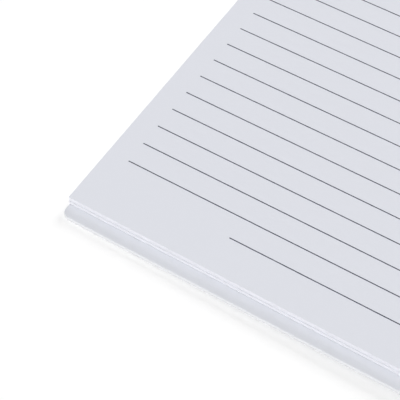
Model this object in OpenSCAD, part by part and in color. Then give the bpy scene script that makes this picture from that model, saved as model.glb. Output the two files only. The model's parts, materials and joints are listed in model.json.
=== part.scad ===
// A5 notebook bound by twin-loop wire rings, lying open in the middle.
// The origin is on the table, under the ring axis, half way along the spine.
// The spine runs along Y, and the front cover lies to the left, on the -X side.

/* [Covers] */
// Width of a cover board, from its spine edge to its outer edge
cover_w = 148; // [100:1:220]
// Height of a cover board, along the spine
cover_h = 210; // [205:1:297]
// Thickness of a cover board
cover_t = 1.2; // [0.8:0.1:1.8]
// Radius of the two outer corners of a cover
cover_corner_r = 2.2; // [0.5:0.1:12]
// Distance from the ring axis to a cover's spine edge, lying open
spine_gutter = 0.5; // [0.3:0.1:1]

/* [Pages] */
// How far the sheets stop short of the cover, at the head and at the tail
page_inset = 3.7; // [0:0.1:5]
// Thickness of the stack of turned pages, on the front cover
turned_t = 3; // [0.5:0.1:3.6]
// Thickness of the stack of pages still to come, on the back cover
remaining_t = 3; // [0.5:0.1:3.6]

/* [Punching] */
// Side of the square holes
hole_side = 4; // [3.9:0.1:4.4]
// Strip left between the holes and the spine edge, in covers and sheets
hole_margin = 2.5; // [2:0.1:3]
// Least clearance between the wire and what turns on it
ring_clear = 0.15; // [0.1:0.05:0.3]

/* [Wire rings] */
// Inner diameter of the rings
ring_inner_d = 12.7; // [12.6:0.1:14.3]
// Diameter of the wire
wire_d = 1.1; // [0.8:0.1:1.2]
// Distance from one double ring to the next
ring_pitch = 8.47; // [8:0.01:8.9]
// Number of double rings
ring_count = 23; // [3:1:23]
// Distance between the two wires of a double ring, centre to centre
pair_gap = 2.4; // [2.2:0.1:2.5]
// Radius of the wire's bends at the foot of each double ring
foot_bend_r = 1.2; // [0.9:0.1:1.4]
// Space left between the tip of each loop and its own foot
seam_gap = 2.1; // [1.9:0.1:4]

/* [Hidden] */

// Facets of the long arcs of the rings, and of the wire and its small bends
arc_fn = 96;
wire_fn = 24;
corner_fn = 48;

// The ring circle, as radii to the wire's centreline and to its inner side
ring_r = ring_inner_d / 2 + wire_d / 2;
ring_in_r = ring_inner_d / 2;

// Places on the ring, as angles from straight down: each foot bend ends in a link that
// lies exactly at the bottom, and each tip stops short of its own foot by the seam
foot_angle = atan(foot_bend_r / ring_r);
tip_angle = 360 + foot_angle - seam_gap / ring_r * 180 / PI;
link_drop = norm([ring_r, foot_bend_r]);
link_len = ring_pitch - pair_gap - 2 * foot_bend_r;

// Height of the ring axis, with the links resting on the table
axis_z = link_drop + wire_d / 2;

// The underside of a cover, measured square to it from the ring axis: as low as the
// strip beside its holes can lie inside the rings
cover_hole_in = spine_gutter + hole_margin;
under_drop = sqrt(pow(ring_in_r - ring_clear, 2) - pow(cover_hole_in, 2));
cover_top_drop = under_drop - cover_t;

// The sheets ride further out on the rings than the cover under them
page_hole_in = sqrt(pow(ring_in_r, 2) - pow(cover_top_drop, 2)) - 2 * ring_clear;
page_in = page_hole_in - hole_margin;
leaf_out = spine_gutter + cover_w;
page_w = leaf_out - page_in;
page_h = cover_h - 2 * page_inset;

// Slope that brings the outer edge of each cover down to the table
leaf_tilt = asin(axis_z / norm([leaf_out, under_drop])) - atan(under_drop / leaf_out);

paper = [0.87, 0.87, 0.90];
board = [0.86, 0.86, 0.87];
steel = [0.75, 0.76, 0.78];

// Places of the double rings along the spine
function ring_y(k) = (k - (ring_count - 1) / 2) * ring_pitch;

// One row of square punched holes, each starting at distance x_in from the ring axis
module punched_row(x_in, depth) {
  for (k = [0 : ring_count - 1])
    translate([x_in, ring_y(k) - hole_side / 2, -depth / 2])
      cube([hole_side, hole_side, 2 * depth]);
}

// Puts one leaf of the open book in place: side is 1 for the right, -1 for the left
module leaf(side) {
  translate([0, 0, axis_z])
    mirror([side < 0 ? 1 : 0, 0, 0])
      rotate([0, leaf_tilt, 0])
        translate([0, 0, -under_drop])
          children();
}

// A cover board: square at the spine, round at the two outer corners
module cover_board() {
  difference() {
    linear_extrude(height = cover_t)
      cover_outline();
    punched_row(cover_hole_in, cover_t);
  }
}

module cover_outline() {
  straight_w = cover_w - cover_corner_r;
  translate([spine_gutter, -cover_h / 2])
    square([straight_w, cover_h]);
  translate([spine_gutter, -cover_h / 2 + cover_corner_r])
    square([cover_w, cover_h - 2 * cover_corner_r]);
  for (s = [-1, 1])
    translate([leaf_out - cover_corner_r, s * (cover_h / 2 - cover_corner_r)])
      circle(r = cover_corner_r, $fn = corner_fn);
}

// A stack of sheets, lying on the inner face of its cover
module page_stack(thickness) {
  translate([0, 0, cover_t])
    difference() {
      translate([page_in, -page_h / 2, 0])
        cube([page_w, page_h, thickness]);
      punched_row(page_hole_in, thickness);
    }
}

// A bend of the wire through an angle, from the origin heading +X and turning to +Y
module wire_bend(radius, angle) {
  translate([0, radius, 0])
    rotate([0, 0, -90])
      rotate_extrude(angle = angle, $fn = arc_fn)
        translate([radius, 0])
          circle(d = wire_d, $fn = wire_fn);
}

// The two round wires of a double ring, from its foot to its tip
module ring_pair() {
  rotate([90, 0, 0])
    rotate([0, 0, foot_angle - 90])
      rotate_extrude(angle = tip_angle - foot_angle, $fn = arc_fn)
        for (s = [-1, 1])
          translate([ring_r, s * pair_gap / 2])
            circle(d = wire_d, $fn = wire_fn);
}

// Carries a child to the ring circle: X along the wire towards the tip, Y along the spine
module on_ring(angle) {
  rotate([0, -angle, 0])
    translate([0, 0, -ring_r])
      children();
}

// A foot bend and half of the link to the next double ring
module foot() {
  on_ring(foot_angle)
    translate([0, pair_gap / 2, 0])
      mirror([1, 0, 0]) {
        wire_bend(foot_bend_r, 90);
        translate([foot_bend_r, foot_bend_r, 0])
          rotate([-90, 0, 0])
            cylinder(d = wire_d, h = link_len / 2, $fn = wire_fn);
      }
}

// A double ring with its tip bend, its two foot bends and half of the link on each side
module double_ring() {
  ring_pair();
  on_ring(tip_angle)
    translate([0, -pair_gap / 2, 0])
      wire_bend(pair_gap / 2, 180);
  foot();
  mirror([0, 1, 0])
    foot();
}

module front_cover() {
  color(board)
    leaf(-1)
      cover_board();
}

module turned_pages() {
  color(paper)
    leaf(-1)
      page_stack(turned_t);
}

module wire_rings() {
  color(steel)
    translate([0, 0, axis_z])
      for (k = [0 : ring_count - 1])
        translate([0, ring_y(k), 0])
          double_ring();
}

module remaining_pages() {
  color(paper)
    leaf(1)
      page_stack(remaining_t);
}

module back_cover() {
  color(board)
    leaf(1)
      cover_board();
}

front_cover();
turned_pages();
wire_rings();
remaining_pages();
back_cover();
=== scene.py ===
import json
import math
from collections import namedtuple

import bpy
import numpy as np
from mathutils import Matrix


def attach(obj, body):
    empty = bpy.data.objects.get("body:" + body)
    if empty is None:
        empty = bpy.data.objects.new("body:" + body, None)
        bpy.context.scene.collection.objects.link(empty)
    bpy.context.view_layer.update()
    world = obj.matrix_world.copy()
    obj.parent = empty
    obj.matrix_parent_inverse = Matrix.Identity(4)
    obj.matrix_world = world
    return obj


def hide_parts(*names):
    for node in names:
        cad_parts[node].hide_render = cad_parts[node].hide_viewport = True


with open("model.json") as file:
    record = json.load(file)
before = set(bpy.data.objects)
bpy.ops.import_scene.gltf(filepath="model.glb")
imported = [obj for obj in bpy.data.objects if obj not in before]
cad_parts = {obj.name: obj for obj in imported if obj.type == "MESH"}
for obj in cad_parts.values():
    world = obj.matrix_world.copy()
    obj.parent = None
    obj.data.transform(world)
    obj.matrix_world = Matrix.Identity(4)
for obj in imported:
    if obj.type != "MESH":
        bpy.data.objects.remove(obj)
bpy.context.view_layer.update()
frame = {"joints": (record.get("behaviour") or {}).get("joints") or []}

bl_info = {
    "name": "Ring-bound notebook",
    "version": (1, 0, 0),
    "blender": (4, 5, 0),
    "location": "View3D > Sidebar > Notebook",
    "description": "Dresses an open notebook: cover boards, ruled sheets and a double wire binding",
    "category": "Add Mesh",
}

MM = 0.001
RING_AXIS_Z = frame["joints"][0]["pos_m"][2]
LEFT, RIGHT = -1, 1
BODY_OF_SIDE = {LEFT: "front_leaf", RIGHT: "back_leaf"}
COVER_OF_SIDE = {LEFT: "front_cover", RIGHT: "back_cover"}
STACK_OF_SIDE = {LEFT: "turned_pages", RIGHT: "remaining_pages"}

# Each softbox: its name, the stage value that holds its strength, the angle it spans, its
# lean from straight down and its heading about Z, in degrees
SOFTBOXES = (
    ("front_softbox", "front_light", 60, 52, -12),
    ("back_softbox", "back_light", 22, 56, 172),
)
WHITE = (1.0, 1.0, 1.0, 1.0)
# The table: half its width and its level, just under the notebook, in metres
TABLE_HALF = 2.0
TABLE_LEVEL = -0.00002
TABLE_ROUGHNESS = 0.9
# The camera: width of its sensor in millimetres, and the nearest thing it sees, in metres
SENSOR_WIDTH = 36.0
CLIP_START = 0.01

# Points on each rounded corner of a board, and levels on each of its rounded rims
CORNER_POINTS = 9
RIM_LEVELS = 4
# Radius of a board's two corners at the spine, in roundings of its cut edges
SPINE_CORNER = 1.5
# Seed of the sheets' strays, one less on the left and one more on the right
STRAY_SEED = 11
# How many strays more the short sheets lie back: the two lowest, and two in the middle
BOTTOM_STRAYS = (7, 3)
MIDDLE_STRAYS = (7, 6)
# Range over which a sheet may slide along the spine, in strays
SLIDE_RANGE = 0.5
# Points on the wire's half links, foot bends, legs and tip bends, with the ends they share
LINK_POINTS, FOOT_POINTS, LEG_POINTS, TIP_POINTS = 3, 8, 50, 13

# Kinds of socket in a shader group, and the numbers of a Mix node's colour sockets, which
# share their names with its other sockets
COLOUR_SOCKET, VALUE_SOCKET = "NodeSocketColor", "NodeSocketFloat"
MIX_A, MIX_B, MIX_RESULT = 6, 7, 2
# The vertical part of a normal at which the cut edge's colour starts to give way to the
# surface's, and at which it is gone. The cut edge's colour is partly the cut stock's own
# tone and partly painted light and shade for how the upright faces are lit
CUT_EDGE_LIGHT_MASK = (0.35, 0.9)
# Fineness of the faint clouds in paper and board, in noise cells to the metre
CLOUD_SCALE = 25.0
# The wire's draw lines: noise cells to a millimetre along it and to a turn round it, the
# range of its roughness and of its tone over them, and their depth
DRAW_LINES = (0.25, 26.0, 1.0)
DRAW_GLOSS = (0.2, 0.36)
DRAW_TONE = (0.92, 1.06)
DRAW_DEPTH = 0.008 * MM
DRAW_STRENGTH = 0.5


def length(name, description, default):
    """A length property in metres, shown in the scene's unit."""
    return bpy.props.FloatProperty(
        name=name, description=description, default=default, min=0.0, precision=5, unit="LENGTH"
    )


def angle(name, description, degrees):
    """An angle property, its default given in degrees."""
    return bpy.props.FloatProperty(
        name=name, description=description, default=math.radians(degrees), subtype="ANGLE"
    )


def count(name, description, default, least, most):
    """A whole number of like things."""
    return bpy.props.IntProperty(
        name=name, description=description, default=default, min=least, max=most,
        subtype="UNSIGNED",
    )


def factor(name, description, default):
    """A share between nothing and all."""
    return bpy.props.FloatProperty(
        name=name, description=description, default=default, min=0.0, max=1.0, precision=3,
        subtype="FACTOR",
    )


def lamp_strength(name, description, default):
    """The strength of a sun lamp, in watts to the square metre."""
    return bpy.props.FloatProperty(
        name=name, description=description, default=default, min=0.0
    )


def colour(name, description, default):
    """A linear colour property."""
    return bpy.props.FloatVectorProperty(
        name=name, description=description, default=default, size=3, min=0.0, max=1.0,
        subtype="COLOR",
    )


class NotebookSizes(bpy.types.PropertyGroup):
    """Sizes of the boards, the sheets, the punching and the wire."""

    cover_w: length("Cover width", "Spine edge to outer edge of a cover board", 148 * MM)
    cover_h: length("Cover height", "Cover board along the spine", 210 * MM)
    cover_t: length("Cover thickness", "Thickness of a cover board", 1.2 * MM)
    corner_r: length("Corner radius", "Radius of a cover's outer corners", 2.2 * MM)
    edge_r: length("Edge rounding", "Rounding of the board's cut edges", 0.09 * MM)
    spine_gutter: length("Spine gutter", "Ring axis to a cover's spine edge", 0.5 * MM)
    page_inset: length("Page inset", "Sheets short of the cover at head and tail", 3.7 * MM)
    stack_t: length("Stack thickness", "Thickness of each stack of sheets", 3.0 * MM)
    sheets: count("Sheets", "Sheets in each stack", 21, 4, 80)
    sheet_gap: length("Sheet gap", "Air between two sheets at the cut edges", 0.006 * MM)
    edge_stray: length("Edge stray", "How far a sheet may lie short of the stack's edge", 0.04 * MM)
    hole_side: length("Hole side", "Side of the square holes", 4.0 * MM)
    hole_margin: length("Hole margin", "Strip between the holes and the spine edge", 2.5 * MM)
    ring_clear: length("Ring clearance", "Space between the wire and what turns on it", 0.15 * MM)
    ring_bore: length("Ring bore", "Inner diameter of the rings", 12.7 * MM)
    wire_d: length("Wire", "Diameter of the wire", 1.1 * MM)
    ring_pitch: length("Ring pitch", "One double ring to the next", 8.47 * MM)
    ring_count: count("Rings", "Number of double rings", 23, 1, 60)
    pair_gap: length("Pair gap", "Between the two wires of a double ring", 2.4 * MM)
    foot_bend_r: length("Foot bend", "Radius of the bends at the foot of a ring", 1.2 * MM)
    seam_gap: length("Seam gap", "Between a loop's tip and its foot", 2.1 * MM)


class NotebookRuling(bpy.types.PropertyGroup):
    """The printed ruling of a page, measured from its outer bottom corner."""

    pitch: length("Line pitch", "One ruled line to the next", 7.0 * MM)
    lines: count("Lines", "Ruled lines on a page", 26, 1, 60)
    width: length("Line width", "Width of a ruled line", 0.3 * MM)
    foot: length("Foot margin", "Bottom edge of the sheet to the first line", 11.08 * MM)
    outer: length("Outer margin", "Outer edge of the sheet to the lines' ends", 6.38 * MM)
    inner: length("Inner margin", "Clear strip between the lines and the holes", 4.0 * MM)
    late_start: length("Late start", "Where the lowest line starts, from the edge", 41.53 * MM)
    ink_t: length("Ink", "How far the ink stands on the paper", 0.012 * MM)


class NotebookColours(bpy.types.PropertyGroup):
    """Colours of the materials, as linear light."""

    paper: colour("Paper", "Smooth mineral paper", (0.707, 0.72, 0.774))
    # Paper edge: a touch lighter and warmer than the page, partly the raw stock's tone and partly
    # painted light on the upright cut faces
    paper_edge_and_light: colour("Paper edge", "Cut edges of the sheets", (0.722, 0.726, 0.765))
    board: colour("Board", "Laminated face of a cover board", (0.745, 0.76, 0.805))
    # Core: partly the bare core's grey and partly painted shade that tones down the board's upright
    # rim
    core: colour("Core", "Core of the board, bare at its cut edges", (0.67, 0.68, 0.695))
    ink: colour("Ink", "Ruled lines", (0.05, 0.053, 0.085))
    steel: colour("Steel", "Bright drawn wire", (0.5, 0.505, 0.52))
    floor: colour("Floor", "Studio table", (0.88, 0.88, 0.88))


class NotebookStage(bpy.types.PropertyGroup):
    """The camera and the light of the studio."""

    lens: bpy.props.FloatProperty(
        name="Lens", description="Focal length of the camera", default=136.8, min=1.0,
        unit="CAMERA",
    )
    heading: angle("Heading", "Camera's heading from +Y towards +X over the left page", -32.272)
    pitch: angle("Pitch", "Camera's tilt below the plane of the left page", 52.797)
    place: bpy.props.FloatVectorProperty(
        name="Place",
        description="Camera from the foot of the left page's outer edge, in line pitches",
        default=(22.042, -25.9, 44.178), size=3, subtype="XYZ",
    )
    sky: factor("Sky", "Strength of the even studio light", 0.3)
    front_light: lamp_strength("Front light", "Broad light from the front, in W/m2", 2.57)
    back_light: lamp_strength("Back light", "Broad light from behind, in W/m2", 1.15)
    floor_lift: factor("Floor lift", "White that the camera sees added to the floor", 0.13)


Leaf = namedtuple("Leaf", "out under_drop tilt cover_hole_in page_hole_in page_in top")


def leaf_shape(s):
    """The sizes of one leaf of the open book, as seen from the ring axis.

    out is the distance to the outer edge, under_drop the drop to the cover's underside,
    tilt the slope, cover_hole_in and page_hole_in the distances to the holes, page_in that
    to the sheets, and top the height of the page over the underside.

    The drop is sqrt(r^2 - x^2), where r is the ring's inner radius less the clearance and x
    the distance to the cover's holes. The slope brings the outer edge down to the table: it
    is asin(h / hypot(out, drop)) - atan(drop / out), where h is the height of the axis.
    """
    ring_in_r = s.ring_bore / 2
    cover_hole_in = s.spine_gutter + s.hole_margin
    under_drop = math.sqrt((ring_in_r - s.ring_clear) ** 2 - cover_hole_in**2)
    page_hole_in = math.sqrt(ring_in_r**2 - (under_drop - s.cover_t) ** 2) - 2 * s.ring_clear
    out = s.spine_gutter + s.cover_w
    tilt = math.asin(RING_AXIS_Z / math.hypot(out, under_drop)) - math.atan(under_drop / out)
    page_in = page_hole_in - s.hole_margin
    top = s.cover_t + s.stack_t
    return Leaf(out, under_drop, tilt, cover_hole_in, page_hole_in, page_in, top)


def on_leaf(leaf, side, points):
    """Carries points (u, y, v) of a leaf to the row frame.

    u runs outwards from the ring axis, y along the spine, v up from the cover's underside.
    The leaf turns by its slope about the ring axis, and the left one is mirrored in X.
    """
    u, y, v = np.asarray(points, dtype=float).T
    v = v - leaf.under_drop
    x = u * math.cos(leaf.tilt) + v * math.sin(leaf.tilt)
    z = RING_AXIS_Z - u * math.sin(leaf.tilt) + v * math.cos(leaf.tilt)
    return np.stack([side * x, y, z], axis=1)


def add_piece(name, points, faces, material, smooth=None):
    """A new mesh object at the origin, from points, faces and a mask of smooth faces."""
    mesh = bpy.data.meshes.new(name)
    mesh.from_pydata(points.tolist(), [], faces)
    if smooth is not None:
        mesh.polygons.foreach_set("use_smooth", np.asarray(smooth, dtype=bool))
    mesh.materials.append(material)
    mesh.update()
    if mesh.validate():
        raise RuntimeError(name + " has faces that Blender had to repair")
    piece = bpy.data.objects.new(name, mesh)
    bpy.context.scene.collection.objects.link(piece)
    return piece


def dress(piece, body, slot, *nodes):
    """Sets what the piece rides on and the nodes that it stands for. The slot is not used."""
    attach(piece, body)
    if nodes:
        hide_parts(*nodes)


def add_leaf_piece(name, leaf, side, shape, material, slot, *nodes):
    """Adds a piece of one leaf, carried to its side of the book with its faces outward.

    The shape is points, faces and, for some, a mask of smooth faces. The left leaf is
    mirrored, so its faces are turned round.
    """
    points, faces, *smooth = shape
    if side == LEFT:
        faces = [face[::-1] for face in faces]
    piece = add_piece(name, on_leaf(leaf, side, points), faces, material, *smooth)
    dress(piece, BODY_OF_SIDE[side], slot, *nodes)


def ring_places(s):
    """The middle of each double ring in Y, in rising order."""
    return (np.arange(s.ring_count) - (s.ring_count - 1) / 2) * s.ring_pitch


def hole_rows(s):
    """The lower and upper edges in Y of each square hole, in rising order."""
    middles = ring_places(s)
    return np.stack([middles - s.hole_side / 2, middles + s.hole_side / 2], axis=1)


def rim_outline(s, leaf, inset):
    """The board's outline in plan, drawn inwards by inset, anticlockwise from the spine.

    Each corner is an arc about a fixed centre with radius r - inset. Two points on the tail
    edge and two on the head edge stand in line with the holes' sides.
    """
    half_h = s.cover_h / 2
    hole_out = leaf.cover_hole_in + s.hole_side
    spine_r = s.edge_r * SPINE_CORNER

    def corner(x, y, radius, first):
        turn = np.radians(first + np.linspace(0, 90, CORNER_POINTS))
        r = radius - inset
        return np.stack([x + r * np.cos(turn), y + r * np.sin(turn)], axis=1)

    def edge(y, *xs):
        return np.array([[x, y] for x in xs])

    low, high = -half_h + inset, half_h - inset
    return np.concatenate([
        corner(s.spine_gutter + spine_r, -half_h + spine_r, spine_r, 180),
        edge(low, leaf.cover_hole_in, hole_out),
        corner(leaf.out - s.corner_r, -half_h + s.corner_r, s.corner_r, 270),
        corner(leaf.out - s.corner_r, half_h - s.corner_r, s.corner_r, 0),
        edge(high, hole_out, leaf.cover_hole_in),
        corner(s.spine_gutter + spine_r, half_h - spine_r, spine_r, 90),
    ])


def board_rim(s, leaf):
    """The rounded rims of a board, as rings lofted from its underside to its top.

    Each ring is the outline drawn in by e(1 - cos a) at height e(1 - sin a) from the face,
    for a quarter turn at the bottom and one at the top. Returns the points, the faces and
    the number of points in a ring.
    """
    quarter = np.radians(np.linspace(0, 90, RIM_LEVELS))
    e = s.edge_r
    insets = np.concatenate([e * (1 - np.sin(quarter)), e * (1 - np.cos(quarter))])
    lower, upper = e * (1 - np.cos(quarter)), s.cover_t - e * (1 - np.sin(quarter))
    heights = np.concatenate([lower, upper])
    rings = [rim_outline(s, leaf, inset) for inset in insets]
    n = len(rings[0])
    points = [np.column_stack([ring, np.full(n, z)]) for ring, z in zip(rings, heights)]
    index = np.arange(n)
    after = np.roll(index, -1)
    a = np.arange(len(rings) - 1)[:, None] * n
    b = a + n
    faces = np.stack([a + index, a + after, b + after, b + index], axis=2)
    return np.concatenate(points), faces.reshape(-1, 4).tolist(), n


def punched_face(ring, n, inner, outer):
    """A punched face of the board, anticlockwise from above.

    It is one polygon on either side of the row of holes, and a row of quads between them.
    The rim there is the n points from ring on: the spine's tail corner, two points on the
    tail edge, the two outer corners, two points on the head edge and the spine's head
    corner. inner and outer are the holes' sides nearer to the spine and further from it.
    """
    tail_in, tail_out = CORNER_POINTS, CORNER_POINTS + 1
    head_out, head_in = 3 * CORNER_POINTS + 2, 3 * CORNER_POINTS + 3
    from_head, to_tail = np.arange(head_in, n), np.arange(tail_in + 1)
    spine = np.concatenate([ring + from_head, ring + to_tail, inner])
    field = np.concatenate([ring + np.arange(tail_out, head_out + 1), outer[::-1]])
    left = np.concatenate([[ring + tail_in], inner, [ring + head_in]])
    right = np.concatenate([[ring + tail_out], outer, [ring + head_out]])
    bars = np.stack([left[0::2], right[0::2], right[1::2], left[1::2]], axis=1)
    return [spine.tolist(), field.tolist()] + bars.tolist()


def hole_walls(in_low, in_high, out_low, out_high):
    """The four walls of each hole: nearer to the spine, further from it, tail and head."""
    low, high = np.arange(0, len(in_low), 2), np.arange(1, len(in_low), 2)
    walls = (
        (in_low[low], in_low[high], in_high[high], in_high[low]),
        (out_low[high], out_low[low], out_high[low], out_high[high]),
        (out_low[low], in_low[low], in_high[low], out_high[low]),
        (in_low[high], out_low[high], out_high[high], in_high[high]),
    )
    return np.concatenate([np.stack(wall, axis=1) for wall in walls]).tolist()


def board_mesh(s, leaf):
    """A punched board: its rounded rims, its underside, its top and the walls of its holes.

    The holes' corners are four rows of points: nearer to the spine and further from it,
    each at the underside and at the top.
    """
    rim, faces, n = board_rim(s, leaf)
    rim_faces = len(faces)
    rows = hole_rows(s).ravel()
    m = len(rows)
    points = [rim]
    for x in (leaf.cover_hole_in, leaf.cover_hole_in + s.hole_side):
        for z in (0.0, s.cover_t):
            points.append(np.column_stack([np.full(m, x), rows, np.full(m, z)]))
    in_low, in_high, out_low, out_high = (len(rim) + k * m + np.arange(m) for k in range(4))

    faces += [face[::-1] for face in punched_face(0, n, in_low, out_low)]
    faces += punched_face(len(rim) - n, n, in_high, out_high)
    faces += hole_walls(in_low, in_high, out_low, out_high)
    smooth = np.arange(len(faces)) < rim_faces
    return np.concatenate(points), faces, smooth


def sheet_mesh(x_in, x_out, half_h, hole_in, hole_side, rows, low, high):
    """One punched sheet as a grid of cells between two levels.

    The columns are spine strip, holes and page, the rows run between the holes' edges,
    and a cell is solid unless it is a hole. A wall stands wherever a solid cell meets an
    empty one or the outside.
    """
    xs = np.array([x_in, hole_in, hole_in + hole_side, x_out])
    ys = np.concatenate([[-half_h], rows.ravel(), [half_h]])
    nx, ny = len(xs), len(ys)
    solid = np.ones((nx - 1, ny - 1), dtype=bool)
    solid[1, 1::2] = False
    gx, gy = np.meshgrid(xs, ys, indexing="ij")
    flat = np.column_stack([gx.ravel(), gy.ravel()])
    points = np.concatenate([
        np.column_stack([flat, np.full(len(flat), low)]),
        np.column_stack([flat, np.full(len(flat), high)]),
    ])
    number = np.arange(nx * ny).reshape(nx, ny)
    lift = nx * ny

    def corners(i, j):
        return number[i, j], number[i + 1, j], number[i + 1, j + 1], number[i, j + 1]

    i, j = np.nonzero(solid)
    a, b, c, d = corners(i, j)
    quads = [np.stack([a, d, c, b], axis=1), np.stack([a, b, c, d], axis=1) + lift]
    padded = np.pad(solid, 1)
    for di, dj, first, second in ((-1, 0, d, a), (1, 0, b, c), (0, -1, a, b), (0, 1, c, d)):
        open_side = ~padded[i + 1 + di, j + 1 + dj]
        p, q = first[open_side], second[open_side]
        quads.append(np.stack([p, q, q + lift, p + lift], axis=1))
    quads = np.concatenate(quads)
    used, packed = np.unique(quads, return_inverse=True)
    return points[used], packed.reshape(quads.shape)


def sheet_strays(s, seed):
    """How far each sheet lies short of the stack's outer edge and its two ends, and slides.

    Each is drawn evenly between nothing and one stray. The top sheet has none, and the
    short sheets have some strays more.
    """
    stray = np.random.default_rng(seed).uniform(0, s.edge_stray, (s.sheets, 3))
    stray[-1] = 0
    for first, more in ((0, BOTTOM_STRAYS), (s.sheets // 2, MIDDLE_STRAYS)):
        stray[first:first + len(more)] += np.array(more)[:, None] * s.edge_stray
    return stray


def stack_mesh(s, leaf, seed):
    """A stack of loose punched sheets, each short of the stack's edges by its own small stray.

    Sheet k fills the stack between k and k + 1 sheet thicknesses, less the air gap. The
    short sheets leave the faint lines that show in the cut edge and along the cover.
    """
    thickness = s.stack_t / s.sheets
    half_h = s.cover_h / 2 - s.page_inset
    rows = hole_rows(s)
    points, quads, start = [], [], 0
    for k, (x_stray, y_stray, slide) in enumerate(sheet_strays(s, seed)):
        low = s.cover_t + k * thickness
        high = low + thickness - (s.sheet_gap if k < s.sheets - 1 else 0)
        sheet, cells = sheet_mesh(
            leaf.page_in, leaf.out - x_stray, half_h - y_stray,
            leaf.page_hole_in, s.hole_side, rows, low, high,
        )
        sheet[:, 1] += (slide - s.edge_stray / 2) * (y_stray > 0) * SLIDE_RANGE
        points.append(sheet)
        quads.append(cells + start)
        start += len(sheet)
    return np.concatenate(points), np.concatenate(quads).tolist()


def ruling_mesh(s, leaf, ruling):
    """The ruled lines of one page: a thin bar of ink for each line, half sunk in the sheet.

    Line k lies at the foot margin plus k pitches from the bottom edge of the sheet, and the
    lowest line starts further in than the others.
    """
    n = ruling.lines
    tail = -s.cover_h / 2 + s.page_inset
    rows = tail + ruling.foot + np.arange(n) * ruling.pitch
    outer = np.full(n, leaf.out - ruling.outer)
    outer[0] = leaf.out - ruling.late_start
    inner = np.full(n, leaf.page_hole_in + s.hole_side + ruling.inner)
    low, high = rows - ruling.width / 2, rows + ruling.width / 2
    plan = [(inner, low), (outer, low), (outer, high), (inner, high)]
    levels = (leaf.top - ruling.ink_t, leaf.top + ruling.ink_t)
    corners = [np.column_stack([x, y, np.full(n, z)]) for z in levels for x, y in plan]
    points = np.stack(corners, axis=1).reshape(-1, 3)
    box = np.array([
        [3, 2, 1, 0], [4, 5, 6, 7], [0, 1, 5, 4], [1, 2, 6, 5], [2, 3, 7, 6], [3, 0, 4, 7],
    ])
    quads = np.arange(n)[:, None, None] * len(corners) + box
    return points, quads.reshape(-1, 4).tolist()


def wire_line(s):
    """The wire's centreline and outward normals, from the ring axis, over all double rings.

    A place on the wire is an angle a round the ring from straight down, a distance t along
    the tangent there and a distance y along the spine: x = R sin a + t cos a and
    z = -R cos a + t sin a. Legs run round the ring, and links, foot bends and tip bends lie
    in the tangent planes at the foot and at the tip.
    """
    ring_r = (s.ring_bore + s.wire_d) / 2
    half_pair, bend = s.pair_gap / 2, s.foot_bend_r
    foot = math.atan(bend / ring_r)
    tip = 2 * math.pi + foot - s.seam_gap / ring_r
    link = half_pair + bend
    half_turn = np.linspace(-np.pi / 2, np.pi / 2, TIP_POINTS)
    quarter = np.linspace(0, np.pi / 2, FOOT_POINTS)
    leg = np.linspace(foot, tip, LEG_POINTS)[1:-1]
    near = np.linspace(-s.ring_pitch / 2, -link, LINK_POINTS)[:-1]

    def run(turn, tangent, y):
        return np.stack(np.broadcast_arrays(turn, tangent, y), axis=1)

    half = np.concatenate([
        run(foot, np.full(len(near), -bend), near),
        run(foot, -bend * np.cos(quarter), -link + bend * np.sin(quarter)),
        run(leg, 0.0, -half_pair),
    ])
    bend_over = run(tip, half_pair * np.cos(half_turn), half_pair * np.sin(half_turn))
    back = half[::-1] * (1, 1, -1)
    one = np.concatenate([half, bend_over, back[:-1]])
    shift = ring_places(s)
    last = back[-1:] + (0, 0, shift[-1])
    a, t, y = np.concatenate([one + (0, 0, place) for place in shift] + [last]).T
    x = ring_r * np.sin(a) + t * np.cos(a)
    z = -ring_r * np.cos(a) + t * np.sin(a)
    outward = np.stack([np.sin(a), np.zeros_like(a), -np.cos(a)], axis=1)
    return np.stack([x, y, z], axis=1), outward


def tube_mesh(line, normals, radius, sides):
    """A round tube along a line: the circle r(cos b N + sin b T x N) at each of its points.

    Its two flat ends are its last two faces.
    """
    tangent = np.gradient(line, axis=0)
    tangent /= np.linalg.norm(tangent, axis=1, keepdims=True)
    across = np.cross(tangent, normals)
    across /= np.linalg.norm(across, axis=1, keepdims=True)
    out = np.cross(across, tangent)
    b = (np.arange(sides) * 2 * np.pi / sides)[None, :, None]
    ring = np.cos(b) * out[:, None, :] + np.sin(b) * across[:, None, :]
    points = (line[:, None, :] + radius * ring).reshape(-1, 3)
    k = np.arange(len(line) - 1)[:, None] * sides
    i, j = np.arange(sides)[None, :], np.roll(np.arange(sides), -1)[None, :]
    quads = np.stack([k + i, k + j, k + sides + j, k + sides + i], axis=2).reshape(-1, 4)
    first = np.arange(sides)[::-1].tolist()
    last = ((len(line) - 1) * sides + np.arange(sides)).tolist()
    faces = quads.tolist() + [first, last]
    smooth = np.arange(len(faces)) < len(quads)
    return points, faces, smooth


def tube_map(line, sides):
    """The UV place of each corner of a tube's faces: millimetres along it, and part of a turn.

    A quad's corners lie at steps k, k, k + 1, k + 1 along the line and at i, i + 1, i + 1, i
    of the sides round it. Both end caps lie at one place.
    """
    along = np.concatenate([[0], np.cumsum(np.linalg.norm(np.diff(line, axis=0), axis=1))]) / MM
    u = np.stack([along[:-1], along[:-1], along[1:], along[1:]], axis=1)[:, None, :]
    i = np.arange(sides)
    v = np.stack([i, i + 1, i + 1, i], axis=1)[None, :, :] / sides
    quads = np.stack(np.broadcast_arrays(u, v), axis=3).reshape(-1, 2)
    return np.concatenate([quads, np.zeros((2 * sides, 2))])


def connect(tree, place, value):
    """Links an input to an output socket, or gives it a plain value."""
    if isinstance(value, bpy.types.NodeSocket):
        tree.links.new(value, place)
    else:
        place.default_value = value


def feed(tree, node, **values):
    """Feeds a node's inputs, written with an underscore for each space."""
    for name, value in values.items():
        connect(tree, node.inputs[name.replace("_", " ")], value)


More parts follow.
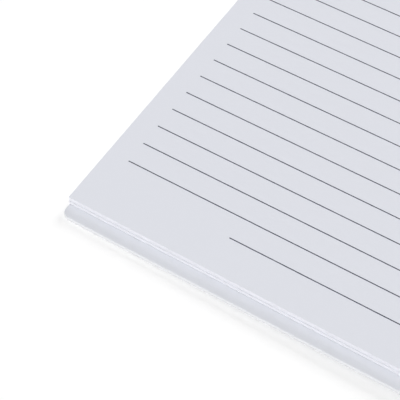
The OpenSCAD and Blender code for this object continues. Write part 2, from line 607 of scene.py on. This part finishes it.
def add_node(tree, kind, **values):
    """A node of a kind: names in lower case set its properties, the others feed its inputs."""
    node = tree.nodes.new(kind)
    for name, value in values.items():
        if name.islower():
            setattr(node, name, value)
        else:
            feed(tree, node, **{name: value})
    return node


def maths(tree, operation, *values):
    """The result of a Math node on sockets or plain numbers."""
    node = add_node(tree, "ShaderNodeMath", operation=operation)
    for place, value in zip(node.inputs, values):
        connect(tree, place, value)
    return node.outputs[0]


def mix_colours(tree, amount, first, second):
    """The first colour where the amount is 0, and the second where it is 1."""
    node = add_node(tree, "ShaderNodeMix", data_type="RGBA", Factor=amount)
    connect(tree, node.inputs[MIX_A], first)
    connect(tree, node.inputs[MIX_B], second)
    return node.outputs[MIX_RESULT]


def new_material(name):
    """A node material, with its node tree and its Principled shader."""
    material = bpy.data.materials.new(name)
    material.use_nodes = True
    tree = material.node_tree
    return material, tree, tree.nodes["Principled BSDF"]


def new_group(name, inputs, outputs):
    """A shader group with named inputs and outputs, and the two nodes that hold them."""
    group = bpy.data.node_groups.new(name, "ShaderNodeTree")
    for sockets, in_out in ((inputs, "INPUT"), (outputs, "OUTPUT")):
        for label, kind in sockets.items():
            group.interface.new_socket(label, in_out=in_out, socket_type=kind)
    return group, group.nodes.new("NodeGroupInput"), group.nodes.new("NodeGroupOutput")


def grain_group():
    """The fine grain and faint cloudiness of coated paper and board, as one node group.

    Colour is the input colour times 1 plus two noises about 0, one as fine as the grain and
    one as broad as the clouds. Height is the fine noise.
    """
    name = "coated_surface"
    if name in bpy.data.node_groups:
        return bpy.data.node_groups[name]
    group, given, result = new_group(
        name,
        {"Colour": COLOUR_SOCKET, "Grain Scale": VALUE_SOCKET, "Grain": VALUE_SOCKET,
         "Cloud Scale": VALUE_SOCKET, "Cloud": VALUE_SOCKET},
        {"Colour": COLOUR_SOCKET, "Height": VALUE_SOCKET},
    )
    place = add_node(group, "ShaderNodeTexCoord").outputs["Object"]

    def noise(scale, detail):
        node = add_node(group, "ShaderNodeTexNoise", Vector=place, Detail=detail)
        feed(group, node, Scale=given.outputs[scale])
        return node.outputs["Fac"]

    grain, clouds = noise("Grain Scale", detail=3.0), noise("Cloud Scale", detail=2.0)
    tone = 1.0
    for value, amount in ((grain, "Grain"), (clouds, "Cloud")):
        centred = maths(group, "SUBTRACT", value, 0.5)
        tone = maths(group, "ADD", maths(group, "MULTIPLY", centred, given.outputs[amount]), tone)
    tint = add_node(
        group, "ShaderNodeVectorMath", operation="SCALE", Vector=given.outputs["Colour"], Scale=tone
    )
    feed(group, result, Colour=tint.outputs["Vector"], Height=grain)
    return group


def cut_edge_light_group():
    """The colour of a cut edge where a face stands upright, and of the surface elsewhere.

    The edge colour is partly the cut stock's own and partly painted light and shade,
    standing in for how the upright faces are lit. The share of the surface's colour grows
    from 0 to 1 with the vertical part of the object's own normal, up or down, between the
    two bounds of the mask.
    """
    name = "cut_edge"
    if name in bpy.data.node_groups:
        return bpy.data.node_groups[name]
    group, given, result = new_group(
        name, {"Surface": COLOUR_SOCKET, "Edge": COLOUR_SOCKET}, {"Colour": COLOUR_SOCKET}
    )
    normal = add_node(group, "ShaderNodeTexCoord").outputs["Normal"]
    upward = add_node(group, "ShaderNodeSeparateXYZ", Vector=normal).outputs["Z"]
    vertical = maths(group, "ABSOLUTE", upward)
    start, end = CUT_EDGE_LIGHT_MASK
    mask = add_node(group, "ShaderNodeMapRange", Value=vertical, From_Min=start, From_Max=end)
    edge, surface = given.outputs["Edge"], given.outputs["Surface"]
    feed(group, result, Colour=mix_colours(group, mask.outputs["Result"], edge, surface))
    return group


def coated_material(name, base, grain_scale, grain, cloud, roughness, bump_mm, sheen, edge=None):
    """Coated paper or board: the grain group feeds the colour and a fine bump.

    Where a colour is given for the cut edge, it takes the surface's place on upright faces,
    with painted light and shade in it for how those faces are lit.
    """
    material, tree, shader = new_material(name)
    tint = (*base, 1.0)
    # The cut edge's colour paints light and shade onto the upright faces
    if edge is not None:
        cut = add_node(
            tree, "ShaderNodeGroup", node_tree=cut_edge_light_group(), Surface=tint, Edge=(*edge, 1.0)
        )
        tint = cut.outputs["Colour"]
    coat = add_node(
        tree, "ShaderNodeGroup", node_tree=grain_group(), Colour=tint, Grain_Scale=grain_scale,
        Grain=grain, Cloud_Scale=CLOUD_SCALE, Cloud=cloud,
    )
    bump = add_node(
        tree, "ShaderNodeBump", Strength=1.0, Distance=bump_mm * MM, Height=coat.outputs["Height"]
    )
    feed(
        tree, shader, Base_Color=coat.outputs["Colour"], Normal=bump.outputs["Normal"],
        Roughness=roughness, Specular_IOR_Level=sheen,
    )
    return material


def paper_material():
    """Smooth mineral paper: matt, even, slightly cool and finely grained, with painted light on its
    cut edges.
    """
    colours = bpy.context.scene.notebook_colours
    return coated_material(
        "mineral_paper", tuple(colours.paper), grain_scale=3000.0, grain=0.03, cloud=0.012,
        roughness=0.72, bump_mm=0.004, sheen=0.3, edge=tuple(colours.paper_edge_and_light),
    )


def board_material():
    """Laminated cover board: a little greyer and smoother than the paper, with painted shade on its
    rim.
    """
    colours = bpy.context.scene.notebook_colours
    return coated_material(
        "cover_board", tuple(colours.board), grain_scale=1800.0, grain=0.03, cloud=0.02,
        roughness=0.48, bump_mm=0.006, sheen=0.4, edge=tuple(colours.core),
    )


def ink_material():
    """Printed grey line: ink broken up a little by the paper's grain."""
    colours = bpy.context.scene.notebook_colours
    return coated_material(
        "line_ink", tuple(colours.ink), grain_scale=2500.0, grain=0.25, cloud=0.05,
        roughness=0.6, bump_mm=0.002, sheen=0.3,
    )


def steel_material():
    """Bright drawn wire: metal with fine draw lines along it and a faint change of gloss."""
    material, tree, shader = new_material("drawn_steel")
    place = add_node(tree, "ShaderNodeTexCoord").outputs["UV"]
    stretch = add_node(tree, "ShaderNodeMapping", Vector=place, Scale=DRAW_LINES)
    lines = add_node(
        tree, "ShaderNodeTexNoise", Vector=stretch.outputs["Vector"], Scale=1.0, Detail=3.0
    ).outputs["Fac"]
    smoothest, roughest = DRAW_GLOSS
    gloss = add_node(tree, "ShaderNodeMapRange", Value=lines, To_Min=smoothest, To_Max=roughest)
    base = np.array(bpy.context.scene.notebook_colours.steel)
    dark, bright = ((*np.minimum(base * tone, 1.0), 1.0) for tone in DRAW_TONE)
    bump = add_node(
        tree, "ShaderNodeBump", Strength=DRAW_STRENGTH, Distance=DRAW_DEPTH, Height=lines
    )
    feed(
        tree, shader, Base_Color=mix_colours(tree, lines, dark, bright), Metallic=1.0,
        Roughness=gloss.outputs["Result"], Normal=bump.outputs["Normal"],
    )
    return material


def is_seen(tree):
    """1 for rays from the camera and for those that come by a mirror or through glass."""
    path = add_node(tree, "ShaderNodeLightPath").outputs
    bright = maths(tree, "MAXIMUM", path["Is Camera Ray"], path["Is Glossy Ray"])
    return maths(tree, "MAXIMUM", bright, path["Is Transmission Ray"])


def floor_material(base, lift):
    """White table: plain diffuse, with a little white added for what looks at it."""
    material, tree, shader = new_material("studio_table")
    feed(
        tree, shader, Base_Color=(*base, 1.0), Roughness=TABLE_ROUGHNESS,
        Specular_IOR_Level=0.0, Emission_Color=WHITE,
        Emission_Strength=maths(tree, "MULTIPLY", is_seen(tree), lift),
    )
    return material


class NOTEBOOK_OT_covers(bpy.types.Operator):
    """Build both cover boards, with rounded rims and square holes"""

    bl_idname = "notebook.covers"
    bl_label = "Cover boards"

    def execute(self, context):
        s = context.scene.notebook_sizes
        leaf = leaf_shape(s)
        material = board_material()
        for side, node in COVER_OF_SIDE.items():
            shape = board_mesh(s, leaf)
            add_leaf_piece(node + "_board", leaf, side, shape, material, "cover_board", node)
        return {"FINISHED"}


class NOTEBOOK_OT_sheets(bpy.types.Operator):
    """Build the two stacks of punched sheets"""

    bl_idname = "notebook.sheets"
    bl_label = "Sheets"

    def execute(self, context):
        s = context.scene.notebook_sizes
        leaf = leaf_shape(s)
        material = paper_material()
        for side, node in STACK_OF_SIDE.items():
            shape = stack_mesh(s, leaf, STRAY_SEED + side)
            add_leaf_piece(node + "_sheets", leaf, side, shape, material, "page_paper", node)
        return {"FINISHED"}


class NOTEBOOK_OT_ruling(bpy.types.Operator):
    """Print the ruled lines on both open pages"""

    bl_idname = "notebook.ruling"
    bl_label = "Ruled lines"

    def execute(self, context):
        s = context.scene.notebook_sizes
        leaf = leaf_shape(s)
        material = ink_material()
        for side, node in STACK_OF_SIDE.items():
            shape = ruling_mesh(s, leaf, context.scene.notebook_ruling)
            add_leaf_piece(node + "_ruling", leaf, side, shape, material, "page_paper")
        return {"FINISHED"}


class NOTEBOOK_OT_wire(bpy.types.Operator):
    """Bend the one wire that makes all the double rings"""

    bl_idname = "notebook.wire"
    bl_label = "Wire rings"

    sides: count("Sides", "Facets round the wire", 14, 6, 32)

    def execute(self, context):
        s = context.scene.notebook_sizes
        line, normals = wire_line(s)
        line = line + (0, 0, RING_AXIS_Z)
        points, faces, smooth = tube_mesh(line, normals, s.wire_d / 2, self.sides)
        piece = add_piece("bent_wire", points, faces, steel_material(), smooth)
        uv = tube_map(line, self.sides)
        piece.data.uv_layers.new(name="UVMap").data.foreach_set("uv", uv.ravel())
        dress(piece, "rings", "ring_wire", "wire_rings")
        return {"FINISHED"}


class NOTEBOOK_OT_stage(bpy.types.Operator):
    """Lay the white table and set up the camera and the studio light"""

    bl_idname = "notebook.stage"
    bl_label = "Stage"

    def execute(self, context):
        scene = context.scene
        stage = scene.notebook_stage
        self.lay_table(scene, stage)
        self.light(scene, stage)
        self.place_camera(scene, stage)
        scene.view_settings.view_transform = "Standard"
        return {"FINISHED"}

    def lay_table(self, scene, stage):
        """A flat square, just under the notebook."""
        corners = ((-1, -1), (1, -1), (1, 1), (-1, 1))
        points = np.array([[x * TABLE_HALF, y * TABLE_HALF, TABLE_LEVEL] for x, y in corners])
        material = floor_material(tuple(scene.notebook_colours.floor), stage.floor_lift)
        add_piece("table_top", points, [[0, 1, 2, 3]], material)

    def light(self, scene, stage):
        """An even white sky, seen as plain white, and a broad light from either end."""
        world = bpy.data.worlds.new("studio")
        scene.world = world
        world.use_nodes = True
        tree = world.node_tree
        strength = add_node(
            tree, "ShaderNodeMix", data_type="FLOAT", Factor=is_seen(tree), A=stage.sky, B=1.0
        )
        background = tree.nodes["Background"]
        feed(tree, background, Color=WHITE, Strength=strength.outputs["Result"])

        for name, value, spread, lean, heading in SOFTBOXES:
            lamp = bpy.data.lights.new(name, "SUN")
            lamp.energy = getattr(stage, value)
            lamp.angle = math.radians(spread)
            softbox = bpy.data.objects.new(name, lamp)
            softbox.rotation_euler = (math.radians(lean), 0, math.radians(heading))
            scene.collection.objects.link(softbox)

    def place_camera(self, scene, stage):
        """The camera stands over the left page, measured in line pitches from that page.

        Its axes are worked out in the page's own plane and carried over with the leaf.
        """
        s = scene.notebook_sizes
        leaf = leaf_shape(s)
        tail = -s.cover_h / 2 + s.page_inset
        corner = on_leaf(leaf, LEFT, [[leaf.out, tail, leaf.top]])[0]
        page = np.array([
            [math.cos(leaf.tilt), 0, math.sin(leaf.tilt)],
            [0, 1, 0],
            [-math.sin(leaf.tilt), 0, math.cos(leaf.tilt)],
        ]).T
        look = np.array([
            math.sin(stage.heading) * math.cos(stage.pitch),
            math.cos(stage.heading) * math.cos(stage.pitch),
            -math.sin(stage.pitch),
        ])
        right = np.array([math.cos(stage.heading), -math.sin(stage.heading), 0])
        up = np.cross(right, look)
        matrix = np.eye(4)
        matrix[:3, :3] = page @ np.stack([right, up, -look], axis=1)
        matrix[:3, 3] = corner + page @ np.array(stage.place) * scene.notebook_ruling.pitch

        lens = bpy.data.cameras.new("camera")
        lens.sensor_width = SENSOR_WIDTH
        lens.lens = stage.lens
        lens.clip_start = CLIP_START
        camera = bpy.data.objects.new("camera", lens)
        camera.matrix_world = Matrix(matrix.tolist())
        scene.collection.objects.link(camera)
        scene.camera = camera


class VIEW3D_PT_notebook(bpy.types.Panel):
    """Sizes, colours and steps of the notebook"""

    bl_idname = "VIEW3D_PT_notebook"
    bl_label = "Ring-bound notebook"
    bl_space_type = "VIEW_3D"
    bl_region_type = "UI"
    bl_category = "Notebook"

    def draw(self, context):
        column = self.layout.column(align=True)
        for step in STEPS:
            column.operator(step.bl_idname)
        for group in SETTINGS:
            values = getattr(context.scene, group)
            for name in values.__annotations__:
                column.prop(values, name)


SETTINGS = {
    "notebook_sizes": NotebookSizes,
    "notebook_ruling": NotebookRuling,
    "notebook_colours": NotebookColours,
    "notebook_stage": NotebookStage,
}
STEPS = (
    NOTEBOOK_OT_stage,
    NOTEBOOK_OT_covers,
    NOTEBOOK_OT_sheets,
    NOTEBOOK_OT_ruling,
    NOTEBOOK_OT_wire,
)
CLASSES = (*SETTINGS.values(), *STEPS, VIEW3D_PT_notebook)


def register():
    for cls in CLASSES:
        bpy.utils.register_class(cls)
    for name, group in SETTINGS.items():
        setattr(bpy.types.Scene, name, bpy.props.PointerProperty(type=group))


def unregister():
    for name in SETTINGS:
        delattr(bpy.types.Scene, name)
    for cls in reversed(CLASSES):
        bpy.utils.unregister_class(cls)


def main():
    """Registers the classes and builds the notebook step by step."""
    register()
    bpy.ops.notebook.stage()
    bpy.ops.notebook.covers()
    bpy.ops.notebook.sheets()
    bpy.ops.notebook.ruling()
    bpy.ops.notebook.wire()


if __name__ == "__main__":
    main()
